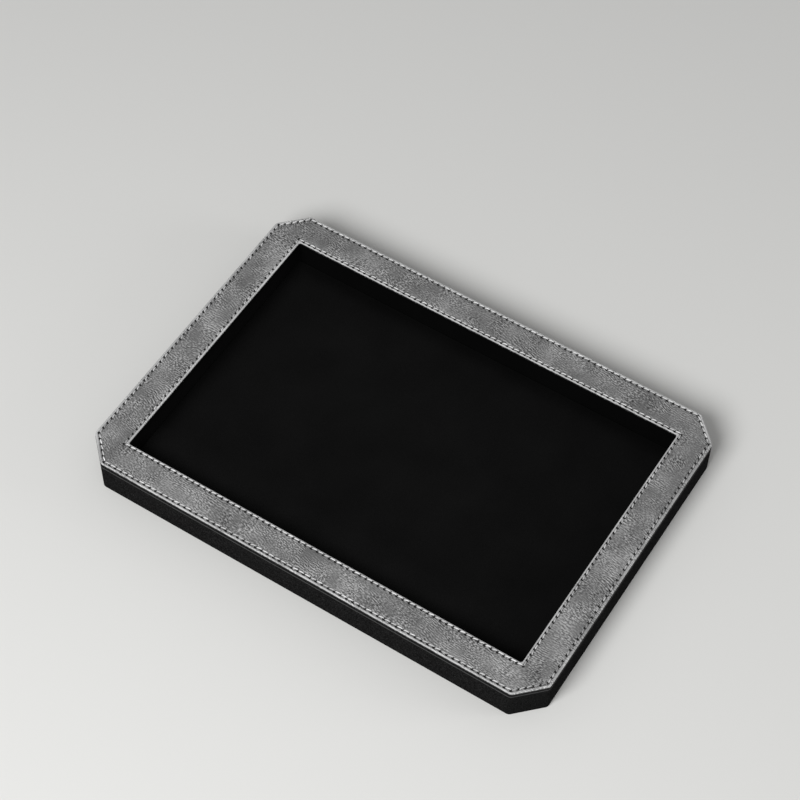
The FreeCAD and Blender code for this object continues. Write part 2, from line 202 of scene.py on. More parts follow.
def pick(piece, kind, wanted):
    """Picks the parts of an open piece that pass a test.

    A face is tested by its middle and normal, an edge by its two ends.
    """
    bpy.ops.mesh.select_mode(type=kind)
    bpy.ops.mesh.select_all(action="DESELECT")
    mesh = bmesh.from_edit_mesh(piece.data)
    mesh.normal_update()
    if kind == "FACE":
        found = [face for face in mesh.faces if wanted(face.calc_center_median(), face.normal)]
    else:
        found = [edge for edge in mesh.edges if wanted(edge.verts[0].co, edge.verts[1].co)]
    for part in found:
        part.select_set(True)
    bmesh.update_edit_mesh(piece.data)


def pick_open_edges(piece):
    """Picks the edges of an open sheet, where only one face meets the edge."""
    bpy.ops.mesh.select_mode(type="EDGE")
    bpy.ops.mesh.select_all(action="DESELECT")
    mesh = bmesh.from_edit_mesh(piece.data)
    for edge in mesh.edges:
        if len(edge.link_faces) == 1:
            edge.select_set(True)
    bmesh.update_edit_mesh(piece.data)


def add_modifier(piece, kind, **settings):
    """Adds a modifier and applies it at once."""
    make_active(piece)
    modifier = piece.modifiers.new(kind.lower(), kind)
    for name, value in settings.items():
        setattr(modifier, name, value)
    bpy.ops.object.modifier_apply(modifier=modifier.name)


def thicken(piece, thickness):
    """Gives a sheet its thickness, on the side that is turned away."""
    add_modifier(piece, "SOLIDIFY", thickness=thickness, offset=-1.0, use_even_offset=True)


def face_outwards():
    """Turns every face of the open piece outwards."""
    bpy.ops.mesh.select_all(action="SELECT")
    bpy.ops.mesh.normals_make_consistent(inside=False)


def points_of(piece):
    """All the corners of a closed piece as rows of x, y and z."""
    points = np.zeros(len(piece.data.vertices) * 3)
    piece.data.vertices.foreach_get("co", points)
    return points.reshape(-1, 3)


def set_points(piece, points):
    piece.data.vertices.foreach_set("co", points.ravel())
    piece.data.update()


def mark(piece, name, values):
    """Gives every corner of a piece a number that its material can read."""
    attribute = piece.data.attributes.new(name, "FLOAT", "POINT")
    attribute.data.foreach_set("value", values.ravel().astype(np.float32))


def smooth(piece, degrees):
    make_active(piece)
    bpy.ops.object.shade_smooth_by_angle(angle=math.radians(degrees))


def triangles(piece):
    return sum(len(face.vertices) - 2 for face in piece.data.polygons)


print("modelling helpers ready")

# %% [markdown]
# The rim panel is one piece of grey leather, cut as a frame and turned under a thin card at both
# edges. It could be carved from a solid, but leather is a sheet, so it is modelled as one. Two
# outlines are drawn, the clipped outside and the opening, and a bridge between them makes the
# first ring of faces. Both have the same number of points, so each corner cut of the outside
# is fanned out from a rounded corner of the opening.

# %% Rim panel: two outlines and a bridge
CLIP_SHARE = 2 - math.sqrt(2)  # what an inset takes off the leg of a corner cut
ROUND_SHARE = math.tan(math.radians(22.5))  # bevel width for each unit of corner radius
CORNER_CLIP = 14.5 * MM
CORNER_ROUND = 3.0 * MM
PANEL_INSET = 0.4 * MM
PANEL_LIP = 0.5 * MM
WELL_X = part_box("right_lining")[0].x
WELL_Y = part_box("rear_lining")[0].y
WINDOW_X = WELL_X - PANEL_LIP
WINDOW_Y = WELL_Y - PANEL_LIP
WINDOW_ROUND = 1.3 * MM
ROUND_STEPS = 5
CLIP_STEPS = 8
LONG_STEPS = (12, 20)  # each long side is cut into 12 parts and each of these into 20
SHORT_STEPS = (8, 20)
CUT_LEG = 5 * MM  # only the corner cuts reach further than this both ways
SIDE_LENGTH = 100 * MM  # only whole sides are longer
PART_LENGTH = 10 * MM  # only whole sides and their first parts are longer

panel_low, panel_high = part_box("rim_leather")
panel_clip = CORNER_CLIP - PANEL_INSET * CLIP_SHARE


def split_edges(piece, wanted, parts):
    pick(piece, "EDGE", wanted)
    bpy.ops.mesh.subdivide(number_cuts=parts - 1)


def runs_along(axis, longer_than):
    """A test for edges along one axis that are longer than a length."""
    return lambda a, b: abs(a[axis] - b[axis]) > longer_than


deselect_all()
bpy.ops.mesh.primitive_plane_add(size=2.0, location=(0, 0, panel_high.z))
bpy.context.object.scale = (panel_high.x, panel_high.y, 1)
rim = named("rim_panel_leather")
open_piece(rim)
bpy.ops.mesh.select_all(action="SELECT")
bpy.ops.mesh.bevel(offset=panel_clip, affect="VERTICES", segments=1)
bpy.ops.mesh.bevel(offset=CORNER_ROUND * ROUND_SHARE, affect="VERTICES", segments=ROUND_STEPS)
bpy.ops.mesh.delete(type="ONLY_FACE")
split_edges(rim, lambda a, b: min(abs(a.x - b.x), abs(a.y - b.y)) > CUT_LEG, CLIP_STEPS)
bpy.ops.mesh.select_all(action="DESELECT")
bpy.ops.mesh.primitive_plane_add(size=2.0, location=(0, 0, panel_high.z))
bpy.ops.transform.resize(value=(WINDOW_X, WINDOW_Y, 1))
bpy.ops.mesh.bevel(offset=WINDOW_ROUND, affect="VERTICES", segments=CLIP_STEPS + 2 * ROUND_STEPS)
bpy.ops.mesh.delete(type="ONLY_FACE")
for axis, steps in ((0, LONG_STEPS), (1, SHORT_STEPS)):
    split_edges(rim, runs_along(axis, SIDE_LENGTH), steps[0])
    split_edges(rim, runs_along(axis, PART_LENGTH), steps[1])
bpy.ops.mesh.select_all(action="SELECT")
bpy.ops.mesh.bridge_edge_loops()
rungs = [edge.calc_length() for edge in bmesh.from_edit_mesh(rim.data).edges]
print("bridge: rungs up to", round(max(rungs) / MM, 2), "mm long")

# %% [markdown]
# Next come the rolled edges. Insets draw even lines along both edges at once, closer together
# near the edge, and the corners between them are dropped onto a quarter circle. Then the edges
# are pulled down to the underside, bridged there, and a slot is cut between the two turned-under
# margins. A Solidify modifier gives the sheet its thickness towards the card.

# %% Rim panel: rolled and turned edges
EDGE_ROLL = 0.7 * MM
ROLL_LINES = (0.06, 0.14, 0.22, 0.28)  # steps in from the edge, in mm
UNDER_ROLL = 0.35 * MM
UNDER_PARTS = 3  # a turned margin at each edge and the slot between them
PANEL_SKIN = 0.6 * MM
RUNG_LENGTH = 8 * MM  # lines across the rim are longer than this, and lines along it far shorter
TURNED_MARGIN = 5 * MM  # what is turned under is at least as wide


def from_outline(x, y, half, clip):
    """How far a point lies in from an outline with cut corners."""
    x, y = np.abs(x), np.abs(y)
    from_cut = (half.x + half.y - clip - x - y) / math.sqrt(2)
    return np.minimum(np.minimum(half.x - x, half.y - y), from_cut)


def from_window(x, y):
    """How far a point of the panel lies out from the opening."""
    return np.maximum(np.abs(x) - WINDOW_X, np.abs(y) - WINDOW_Y)


def in_from_edge(x, y):
    """How far a point of the panel lies from its nearer edge, the outline or the opening."""
    return np.minimum(from_outline(x, y, panel_high, panel_clip), from_window(x, y))


face_outwards()
pick(rim, "FACE", lambda middle, normal: normal.z < 0)
bpy.ops.mesh.flip_normals()
bpy.ops.mesh.select_all(action="SELECT")
reached = 0.0
bmesh.from_edit_mesh(rim.data).verts.layers.float.new("inset_line")
for step in ROLL_LINES:
    bpy.ops.mesh.inset(thickness=step * MM)
    reached += step * MM
    mesh = bmesh.from_edit_mesh(rim.data)
    line = mesh.verts.layers.float["inset_line"]
    for corner in mesh.verts:
        if corner.select:
            corner[line] = reached
for corner in mesh.verts:
    across = EDGE_ROLL - corner[line]
    corner.co.z -= EDGE_ROLL - math.sqrt(max(EDGE_ROLL ** 2 - across ** 2, 0.0))
bmesh.update_edit_mesh(rim.data)

pick_open_edges(rim)
bpy.ops.mesh.extrude_region_move(
    TRANSFORM_OT_translate={"value": (0, 0, panel_low.z - panel_high.z + EDGE_ROLL)})
pick_open_edges(rim)
bpy.ops.mesh.bridge_edge_loops()
under = panel_low.z + HAIR
pick(rim, "EDGE", lambda a, b: max(a.z, b.z) < under and (a - b).length < RUNG_LENGTH)
bpy.ops.mesh.bevel(offset=UNDER_ROLL, affect="EDGES", segments=3)
split_edges(rim, lambda a, b: max(a.z, b.z) < under and (a - b).length > RUNG_LENGTH, UNDER_PARTS)
pick(rim, "FACE", lambda middle, normal: (
    middle.z < under and in_from_edge(middle.x, middle.y) > TURNED_MARGIN))
bpy.ops.mesh.delete(type="FACE")
face_outwards()
thicken(rim, PANEL_SKIN)
print("rolled sheet:", triangles(rim), "triangles")

# %% [markdown]
# The thread pulls the leather down into a shallow channel along each row. More insets on the top
# faces alone give the lines for it, a subdivide fills the middle, and then the corners are moved
# in code: down in the channels, and a few hundredths of a millimetre up and down elsewhere,
# because glued leather is never quite flat. The panel was also glued on by hand, a little out of
# true: it is flush with the body at the back and both ends, and drawn back at the front. Its
# opening was cut by hand too, a little too far out at the front and too far in at the left.

# %% Rim panel: stitch channels and a soft surface
CHANNEL_LINES = (0.25, 0.25, 0.25, 0.25, 0.25, 0.25, 0.30, 0.35)  # further steps in, in mm
MIDDLE_PARTS = 15
STITCH_INSET = 1.7 * MM
CHANNEL_DEPTH = 0.3 * MM
CHANNEL_FLAT = 0.1 * MM  # half the width of its level bottom
EDGE_SHOULDER = 0.95 * MM  # how far the channel's slope reaches towards the edge
MIDDLE_SHOULDER = 2.6 * MM  # and towards the middle of the rim
SWELL = 0.09 * MM
SWELL_HILLS = ((0.6, 11 * MM, 1), (0.4, 4 * MM, 2))  # share, spacing and seed
LEFT_EDGE_SHIFT = 0.3 * MM  # of the opening
FRONT_EDGE_SHIFT = -0.2 * MM
EDGE_STRIP = (0.8 * MM, 1.5 * MM)  # moves with its edge: all of it, and fading out
SHIFT_FADE = 40 * MM  # from the middle of the tray, so that no shift begins at once


def ease(start, end, value):
    """Zero before start, one after end, and a smooth rise between them."""
    share = np.clip((value - start) / (end - start), 0.0, 1.0)
    return share * share * (3 - 2 * share)


def swelling(points, spacing, seed):
    """Gentle hills and hollows about one spacing apart, from -1 to 1."""
    shift = Vector((seed * 17.3, seed * 5.1, seed * 9.7))
    return np.array([noise.noise(Vector(point) / spacing + shift) for point in points])


open_piece(rim)
on_top = panel_high.z - HAIR
pick(rim, "FACE", lambda middle, normal: normal.z > LEVEL and middle.z > on_top)
for step in CHANNEL_LINES:
    bpy.ops.mesh.inset(thickness=step * MM)
split_edges(
    rim, lambda a, b: min(a.z, b.z) > on_top and (a - b).length > RUNG_LENGTH, MIDDLE_PARTS)
deselect_all()

points = points_of(rim)
top = points[:, 2] > on_top
flat = points[top]
inwards = in_from_edge(flat[:, 0], flat[:, 1])
reach = np.where(inwards < STITCH_INSET, EDGE_SHOULDER, MIDDLE_SHOULDER)
channel = 1 - ease(CHANNEL_FLAT, reach, np.abs(inwards - STITCH_INSET))
hills = sum(share * swelling(flat, spacing, seed) for share, spacing, seed in SWELL_HILLS)
points[top, 2] += SWELL * hills * ease(EDGE_ROLL, STITCH_INSET, inwards) * (1 - channel)
points[top, 2] -= CHANNEL_DEPTH * channel
x, y = points[:, 0].copy(), points[:, 1].copy()
outer_edge = PANEL_INSET * (1 - ease(*EDGE_STRIP, from_outline(x, y, panel_high, panel_clip)))
points[:, 0] += outer_edge * np.sign(x) * ease(0.0, SHIFT_FADE, np.abs(x))
points[:, 1] += outer_edge * ease(0.0, SHIFT_FADE, y)
window_edge = 1 - ease(*EDGE_STRIP, from_window(x, y))
points[:, 0] += LEFT_EDGE_SHIFT * window_edge * ease(0.0, SHIFT_FADE, -x)
points[:, 1] += FRONT_EDGE_SHIFT * window_edge * ease(0.0, SHIFT_FADE, -y)
set_points(rim, points)
highest = round(points[:, 2].max() / MM, 2)
print("channelled panel:", triangles(rim), "triangles, highest", highest, "mm")

# %% [markdown]
# A stitch row is the same stitch over and over. It runs straight between corners, with a needle
# hole at every corner, so each straight run holds a whole number of stitches. One helper lays
# copies of a model along every run with an Array modifier and joins them. It serves twice: for
# the needles that punch the holes, and for the thread. Along the front and back the thread lies
# beside its holes, so there the copies can be shifted aside and drawn out.

# %% Rows of stitches
STITCH_PITCH = 3.7 * MM
INNER_INSET = 1.55 * MM
ROWS = {  # half length, half width and corner cut of each row
    "outer": (panel_high.x - STITCH_INSET, panel_high.y - STITCH_INSET,
              panel_clip - STITCH_INSET * CLIP_SHARE),
    "inner": (WINDOW_X + INNER_INSET, WINDOW_Y + INNER_INSET, 0.0),
}
MIDDLES = {  # no row is quite in the middle, the outer one least of all
    "outer": Vector((-0.05, 0.45)) * MM,
    "inner": Vector((0.1, 0.15)) * MM,
}


def runs_of(half_x, half_y, clip):
    """The straight runs of a row, counter-clockwise, each from one corner to the next."""
    corners = [
        (half_x - clip, -half_y), (half_x, clip - half_y),
        (half_x, half_y - clip), (half_x - clip, half_y),
        (clip - half_x, half_y), (-half_x, half_y - clip),
        (-half_x, clip - half_y), (clip - half_x, -half_y),
    ]
    ends = [(Vector(a), Vector(b)) for a, b in zip(corners, corners[1:] + corners[:1])]
    return [(a, b) for a, b in ends if (b - a).length > HAIR]


def lay_row(model, row, name, start_share, aside, drawn=0.0):
    """Copies a model along every run of a row, and joins the copies into one piece.

    The shift aside and the share drawn out act along the front and back, not along the ends.
    """
    laid = []
    for start, end in runs_of(*ROWS[row]):
        along = end - start
        count = round(along.length / STITCH_PITCH)
        step = along / count
        make_active(model)
        bpy.ops.object.duplicate()
        copy = bpy.context.object
        along_front = abs(along.x) / along.length
        copy.scale.x = 1 + drawn * along_front
        bpy.ops.object.transform_apply(location=False, rotation=False, scale=True)
        add_modifier(
            copy, "ARRAY", count=count, use_relative_offset=False, use_constant_offset=True,
            constant_offset_displace=(step.length, 0, 0))
        copy.rotation_euler = (0, 0, math.atan2(along.y, along.x))
        copy.location = (MIDDLES[row] + start + step * start_share + aside * along_front).to_3d()
        bpy.ops.object.transform_apply(location=True, rotation=True, scale=True)
        laid.append(copy)
    deselect_all()
    for copy in laid:
        copy.select_set(True)
    bpy.context.view_layer.objects.active = laid[0]
    bpy.ops.object.join()
    laid[0].name = name
    laid[0].data.name = name
    return laid[0]


for row, lines in ROWS.items():
    counts = [round((b - a).length / STITCH_PITCH) for a, b in runs_of(*lines)]
    print(row, "row:", sum(counts), "stitches in runs of", counts)

# %% [markdown]
# The needle holes are real holes. A needle is a tapered pin, wider at the top and drawn out along
# the row, because the thread drags the edge of the hole with it. All the pins of a row are cut
# away from the leather by one Boolean modifier, and the cut faces take the pins' own material,
# a near-black painted shade with a fine speckle, so the holes read dark. The holes open on the
# near side of the thread. At the end every corner of the mesh gets a number that says how much
# lighter its leather is: most at the opening, less along the right end, and below nought under
# the roll, where the leather is painted dark as painted shade.

# %% Needle holes
HOLE_SIDES = 10
HOLE_FOOT = 0.65 * MM
HOLE_MOUTH = 0.9 * MM
HOLE_DRAWN = 1.3  # times as long as wide
HOLE_ASIDE = Vector((0, -0.42)) * MM
PIN_FROM = panel_high.z - PANEL_SKIN - 0.1 * MM
PIN_TO = panel_high.z + 0.25 * MM
ROLL_FADE = (0.4 * MM, 0.9 * MM)  # in from the edge
EDGE_FADE = (0.6 * MM, 1.4 * MM)
# Below the roll the leather is painted dark: painted shade, fading out between these heights.
PAINTED_SHADE_FADE = (panel_low.z + 1.05 * MM, panel_low.z + 1.4 * MM)  # heights
EDGE_REACH = 1.5 * MM  # whatever lies closer belongs to an edge
ROLL_STRETCH = 0.12
EDGE_STRETCH = 0.46
WINDOW_STRETCH = 0.12
RIGHT_STRETCH = -0.22
# A negative share: painted shade below the roll.
UNDER_ROLL_PAINTED_SHADE = -1.9

leather, tree, shader, millimetres = new_material("distressed_grey_leather")
# The walls of the needle holes get a near-black painted shade.
hole_shade_material, hole_shade_tree, hole_shade_shader, hole_shade_mm = new_material("needle_hole_painted_shade")
rim.data.materials.append(leather)
deselect_all()
bpy.ops.mesh.primitive_cone_add(
    vertices=HOLE_SIDES, radius1=HOLE_FOOT, radius2=HOLE_MOUTH, depth=PIN_TO - PIN_FROM,
    location=(0, 0, (PIN_FROM + PIN_TO) / 2))
bpy.context.object.scale = (HOLE_DRAWN, 1, 1)
pin = named("needle_pin")
pin.data.materials.append(hole_shade_material)
for row in ROWS:
    pins = lay_row(pin, row, row + "_pins", start_share=0.0, aside=HOLE_ASIDE)
    add_modifier(
        rim, "BOOLEAN", operation="DIFFERENCE", object=pins, solver="MANIFOLD",
        material_mode="TRANSFER")
    bpy.data.objects.remove(pins)
bpy.data.objects.remove(pin)
smooth(rim, degrees=35)

points = points_of(rim)
inwards = in_from_edge(points[:, 0], points[:, 1])
on_roll = 1 - ease(*ROLL_FADE, inwards)
near_edge = 1 - ease(*EDGE_FADE, inwards)
# Painted shade below the roll, on the lower part of the edge that the roll keeps from the light.
painted_shade_below_roll = 1 - ease(*PAINTED_SHADE_FADE, points[:, 2])
at_window = from_window(points[:, 0], points[:, 1]) < EDGE_REACH
at_right = points[:, 0] > panel_high.x - EDGE_REACH
at_edge = EDGE_STRETCH + WINDOW_STRETCH * at_window + RIGHT_STRETCH * at_right
# One mark for the lighter leather round the edges and the painted shade below the roll.
paleness_and_shade = ROLL_STRETCH * on_roll + at_edge * near_edge + UNDER_ROLL_PAINTED_SHADE * painted_shade_below_roll
mark(rim, "paleness_and_painted_shade", paleness_and_shade)
print("punched panel:", triangles(rim), "triangles,", [m.name for m in rim.data.materials])

# %% [markdown]
# The grey leather is distressed nubuck: a fine grain drawn out along the hide, in places short
# creases that run the same way, patches smoothed by wear, light and dark clouds a centimetre or
# two across, and a lighter tone wherever the leather is pulled round an edge. Below the roll it
# is painted dark: painted shade.
# Gabor noise is made of short parallel waves, so it draws the creases. Plain noise gives the
# grain, the clouds and the bends in the creases. The same heights drive both colour and bump, so
# the creases are dark where they are deep.

# %% Grey leather
CREASE_LENGTH = 2.5  # mm along the hide
CREASE_GROUP = 2.2  # mm across it, in which a few creases lie side by side
CREASE_SPACING = 1.3  # from one to the next, drawn wider than the finest real ones
CREASE_TURN = math.radians(-10)
GRAIN_LENGTH = 1.25
GRAIN_WIDTH = 0.6
BEND_SIZE = 26  # of slow bends in the hide
BEND_REACH = 9.0  # how far they push it aside
WAVE_SIZE = 5
WAVE_REACH = 0.5
KIND_SIZE = 14  # of patches with more grain or more creases
RUBBED_SIZE = 10
CLOUD_SIZE = 16
HOLE_SPECKLE_SIZE = 0.25  # of the speckle in the painted shade inside the needle holes

slow = put(tree, "TexNoise", {"Vector": millimetres, "Scale": 1 / BEND_SIZE, "Detail": 0.0})
bent = put(tree, "VectorMath", {
    0: slow.outputs["Color"], 1: (BEND_REACH, BEND_REACH, 0.0), 2: millimetres},
    operation="MULTIPLY_ADD")
quick = put(tree, "TexNoise", {"Vector": millimetres, "Scale": 1 / WAVE_SIZE, "Detail": 1.0})
wavy = put(tree, "VectorMath", {
    0: quick.outputs["Color"], 1: (WAVE_REACH, WAVE_REACH, 0.0), 2: bent.outputs[0]},
    operation="MULTIPLY_ADD")
kinds = put(tree, "TexNoise", {"Vector": millimetres, "Scale": 1 / KIND_SIZE, "Detail": 1.0})
creased = put(tree, "MapRange", {
    "Value": kinds.outputs["Fac"], "From Min": 0.35, "From Max": 0.65,
    "To Min": 0.15, "To Max": 0.5})
along_hide = put(tree, "Mapping", {
    "Vector": wavy.outputs[0], "Rotation": (0, 0, CREASE_TURN),
    "Scale": (CREASE_LENGTH, CREASE_GROUP, 1.0)}, vector_type="TEXTURE")
creases = put(tree, "TexGabor", {
    "Vector": along_hide.outputs[0], "Scale": 1.0, "Frequency": CREASE_GROUP / CREASE_SPACING,
    "Anisotropy": 0.88, "Orientation": math.pi / 2})
along_grain = put(tree, "Mapping", {
    "Vector": wavy.outputs[0], "Rotation": (0, 0, CREASE_TURN),
    "Scale": (GRAIN_LENGTH, GRAIN_WIDTH, 1.0)}, vector_type="TEXTURE")
grain = put(tree, "TexNoise", {"Vector": along_grain.outputs[0], "Scale": 1.0, "Detail": 1.0})
relief = put(tree, "Mix", {
    "Factor": creased.outputs[0], "A": grain.outputs["Fac"], "B": creases.outputs["Value"]})
depth = put(tree, "MapRange", {
    "Value": relief.outputs["Result"], "From Min": 0.34, "From Max": 0.66},
    interpolation_type="SMOOTHSTEP")
rubbed_wear_and_painted_highlight = put(tree, "TexNoise", {"Vector": millimetres, "Scale": 1 / RUBBED_SIZE, "Detail": 1.0})
# This mark carries both the lighter leather round the edges and the painted shade below the roll.
paleness_and_shade_mark = put(tree, "Attribute", attribute_name="paleness_and_painted_shade")
crisp = put(tree, "MapRange", {
    "Value": rubbed_wear_and_painted_highlight.outputs["Fac"], "From Min": 0.36, "From Max": 0.62, "To Min": 0.35})
drawn = put(tree, "Math", {
    0: paleness_and_shade_mark.outputs["Fac"], 1: -0.6, 2: crisp.outputs[0]}, operation="MULTIPLY_ADD", use_clamp=True)
folds = put(tree, "Mix", {"Factor": drawn.outputs[0], "A": 0.5, "B": depth.outputs[0]})
clouds = put(tree, "TexNoise", {
    "Vector": millimetres, "Scale": 1 / CLOUD_SIZE, "Detail": 2.0, "Roughness": 0.6})
cloudy = put(tree, "MapRange", {
    "Value": clouds.outputs["Fac"], "From Min": 0.25, "From Max": 0.75,
    "To Min": 0.065, "To Max": 0.335})
tone = put(tree, "Math", {
    0: folds.outputs["Result"], 1: 0.62, 2: cloudy.outputs[0]}, operation="MULTIPLY_ADD")
paled_and_shaded = put(tree, "Math", {
    0: paleness_and_shade_mark.outputs["Fac"], 1: 0.5, 2: tone.outputs[0]}, operation="MULTIPLY_ADD")
# The darkest stops of this ramp paint the shade below the roll.
grey = put(tree, "ValToRGB", {"Fac": paled_and_shaded.outputs[0]}, stops=[
    (0.0, "#121212"), (0.15, "#383838"), (0.5, "#707070"), (1.0, "#c8c8c8")])
bump = put(tree, "Bump", {
    "Height": folds.outputs["Result"], "Strength": 0.6, "Distance": 0.2 * MM})
set_inputs(tree, shader, {
    "Base Color": grey.outputs[0], "Normal": bump.outputs[0], "Roughness": 0.62,
    "Specular IOR Level": 0.35})
# Painted shade inside the needle holes: near black with a fine speckle.
hole_shade_speckle = put(hole_shade_tree, "TexNoise", {"Vector": hole_shade_mm, "Scale": 1 / HOLE_SPECKLE_SIZE, "Detail": 2.0})
painted_hole_shade = put(hole_shade_tree, "ValToRGB", {"Fac": hole_shade_speckle.outputs["Fac"]}, stops=[
    (0.3, "#0a0a0a"), (0.7, "#1c1c1c")])
set_inputs(hole_shade_tree, hole_shade_shader, {"Base Color": painted_hole_shade.outputs[0], "Roughness": 0.95})
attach(rim, "root")
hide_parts("rim_leather")
print("leather nodes:", len(leather.node_tree.nodes))

# %% [markdown]
# The thread is a pale two-ply twist. One stitch is modelled from a cylinder with a few rings:
# each ring is turned a little further, squeezed to the outline of two plies, and the ends dive
# into the holes. A few dozen faces are enough, because it is repeated 468 times. Real stitches
# differ, so each copy is then turned a little and sunk a little, from a fixed seed. Last, every
# stitch is marked with how much painted shade it gets.

# %% Stitching
THREAD_WIDTH = 0.7 * MM
STITCH_RINGS = 6
STITCH_LENGTH = 2.85 * MM
STITCH_DIVE = 0.65 * MM
STITCH_LEAN = math.radians(8)
PLY_TURNS = 1.5
PLY_DEPTH = 0.16  # share of the width by which the plies stand out
END_TAPER = 0.75  # how far the ends are drawn in
FLATTENED = 0.8  # height for each unit of width
THREAD_Z = panel_high.z + 0.10 * MM
THREAD_ASIDE = Vector((0, 0.12)) * MM
LONG_RUN_DRAWN = 0.12  # share by which stitches are longer along the front and back
SWING = math.radians(3.0)
SINK = 0.025 * MM
SEED = 7
RUN_WIDTH = 1 * MM  # a stitch closer than this to a run belongs to it
# Shares of painted shade on the thread: at the ends, along the front of the outer row, and at its
# right end.
ENDS_PAINTED_SHADE = 0.8
FRONT_PAINTED_SHADE = 0.25
RIGHT_PAINTED_SHADE = 1.0

deselect_all()
bpy.ops.mesh.primitive_cylinder_add(
    vertices=8, radius=THREAD_WIDTH / 2, depth=STITCH_LENGTH, rotation=(0, math.pi / 2, 0))
stitch = named("stitch")
open_piece(stitch)
split_edges(stitch, runs_along(0, STITCH_LENGTH / 2), STITCH_RINGS)
deselect_all()
points = points_of(stitch)
share = points[:, 0] / (STITCH_LENGTH / 2)
angle = np.arctan2(points[:, 2], points[:, 1])
plies = 1 + PLY_DEPTH * np.cos(2 * (angle - math.pi * PLY_TURNS * share))
draw_in = np.sqrt(1 - END_TAPER * share ** 4)
points[:, 1] *= plies * draw_in
points[:, 2] *= plies * draw_in * FLATTENED
points[:, 1] += points[:, 0] * math.tan(STITCH_LEAN)
points[:, 2] += THREAD_Z - STITCH_DIVE * share ** 4
set_points(stitch, points)
corners_each = len(stitch.data.vertices)

dice = np.random.default_rng(SEED)
rows = []
for row in ROWS:
    thread_row = lay_row(
        stitch, row, row + "_thread", start_share=0.5, aside=THREAD_ASIDE, drawn=LONG_RUN_DRAWN)
    points = points_of(thread_row).reshape(-1, corners_each, 3)
    middle = points.mean(axis=1, keepdims=True)
    reach = points - middle
    swing = dice.normal(0, SWING, (len(points), 1))
    turned = reach.copy()
    turned[..., 0] = reach[..., 0] * np.cos(swing) - reach[..., 1] * np.sin(swing)
    turned[..., 1] = reach[..., 0] * np.sin(swing) + reach[..., 1] * np.cos(swing)
    points = middle + turned
    points[..., 2] += dice.normal(0, SINK, (len(points), 1))
    set_points(thread_row, points)
    half_x, half_y, clip = ROWS[row]
    x, y = points[..., 0], points[..., 1]
    at_ends = np.abs(x) > half_x - RUN_WIDTH
    at_front = y < RUN_WIDTH - half_y
    at_corner = x - y > half_x + half_y - clip - RUN_WIDTH
    at_right = (at_ends & (x > 0)) | at_corner
    # Painted shade on the thread, greyer at the ends and along the front and right of the outer
    # row.
    thread_shade = ENDS_PAINTED_SHADE * at_ends
    if row == "outer":
        thread_shade = np.maximum.reduce([thread_shade, FRONT_PAINTED_SHADE * at_front, RIGHT_PAINTED_SHADE * at_right])
    mark(thread_row, "thread_painted_shade", thread_shade)
    smooth(thread_row, degrees=60)
    rows.append(thread_row)
bpy.data.objects.remove(stitch)
print("stitch:", corners_each, "corners; rows of", [triangles(piece) for piece in rows],
      "triangles")

# %% [markdown]
# Bonded polyester thread is smooth and a little glossy, with a soft sheen from its fibres. No two
# stitches catch the same light, so the tone of each one is shifted a little at random. At both
# ends, most of all along the outer row on the right, and a little along the front of the outer
# row, the thread is painted darker, towards the leather's grey: painted shade, for the highlight
# that thread running towards the front lamp does not catch, and for the shaded channel along the
# front. That is marked on the mesh as an attribute.

# %% Thread
THREAD_FIBRES = 0.15  # mm

thread, tree, shader, millimetres = new_material("twisted_polyester_thread")
island = put(tree, "NewGeometry").outputs["Random Per Island"]
each = put(tree, "MapRange", {"Value": island, "To Min": 0.42})
# The mark darkens the thread: painted shade.
thread_shade_mark = put(tree, "Attribute", attribute_name="thread_painted_shade")
shaded_thread_tone = put(tree, "Math", {
    0: thread_shade_mark.outputs["Fac"], 1: -0.6, 2: each.outputs[0]}, operation="MULTIPLY_ADD")
pale_grey = put(tree, "ValToRGB", {"Fac": shaded_thread_tone.outputs[0]}, stops=[
    (0.0, "#7e7e7e"), (0.3, "#acacac"), (0.65, "#cecece"), (1.0, "#e6e6e6")])
fibres = put(tree, "TexNoise", {"Vector": millimetres, "Scale": 1 / THREAD_FIBRES, "Detail": 1.0})
bump = put(tree, "Bump", {"Height": fibres.outputs["Fac"], "Strength": 0.3, "Distance": 0.05 * MM})
set_inputs(tree, shader, {
    "Base Color": pale_grey.outputs[0], "Normal": bump.outputs[0], "Roughness": 0.45,
    "Sheen Weight": 0.2})
for row, piece in zip(ROWS, rows):
    piece.data.materials.append(thread)
    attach(piece, "root")
    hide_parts(row + "_stitching")
print("thread on", len(rows), "rows")

# %% [markdown]
# The outside is one band of black leatherette, glued round the frame and turned in over the rails
# and under the board. A cube gets its corner cuts from a bevel on the upright edges, a second
# bevel rounds them, and a third softens the top and bottom. The middles of the top and bottom
# are inset and deleted, so that a band with turned-in margins is left, and Solidify thickens it.
# The band's two ends meet in a fine butt joint in the middle of the back.

# %% Leatherette band
WRAP_SKIN = 0.6 * MM
WRAP_EDGE = 0.5 * MM
WRAP_TURN = 7.82 * MM
JOINT_HALF = 0.25 * MM
JOINT_DEPTH = 0.22 * MM
UPRIGHT_LENGTH = 5 * MM  # only upright edges rise further
OUTER_STRIP = 0.5 * MM  # only the outermost edges lie so close to the outline
BACK_FROM = 90 * MM  # whatever lies further back belongs to the back

wrap_low, wrap_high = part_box("side_wrap")


def is_upright(a, b):
    return abs(a.z - b.z) > UPRIGHT_LENGTH


def is_outermost(a, b):
    """Whether a level edge runs along the outside of the band."""
    inwards = [from_outline(end.x, end.y, wrap_high, CORNER_CLIP) for end in (a, b)]
    return abs(a.z - b.z) < HAIR and max(inwards) < OUTER_STRIP


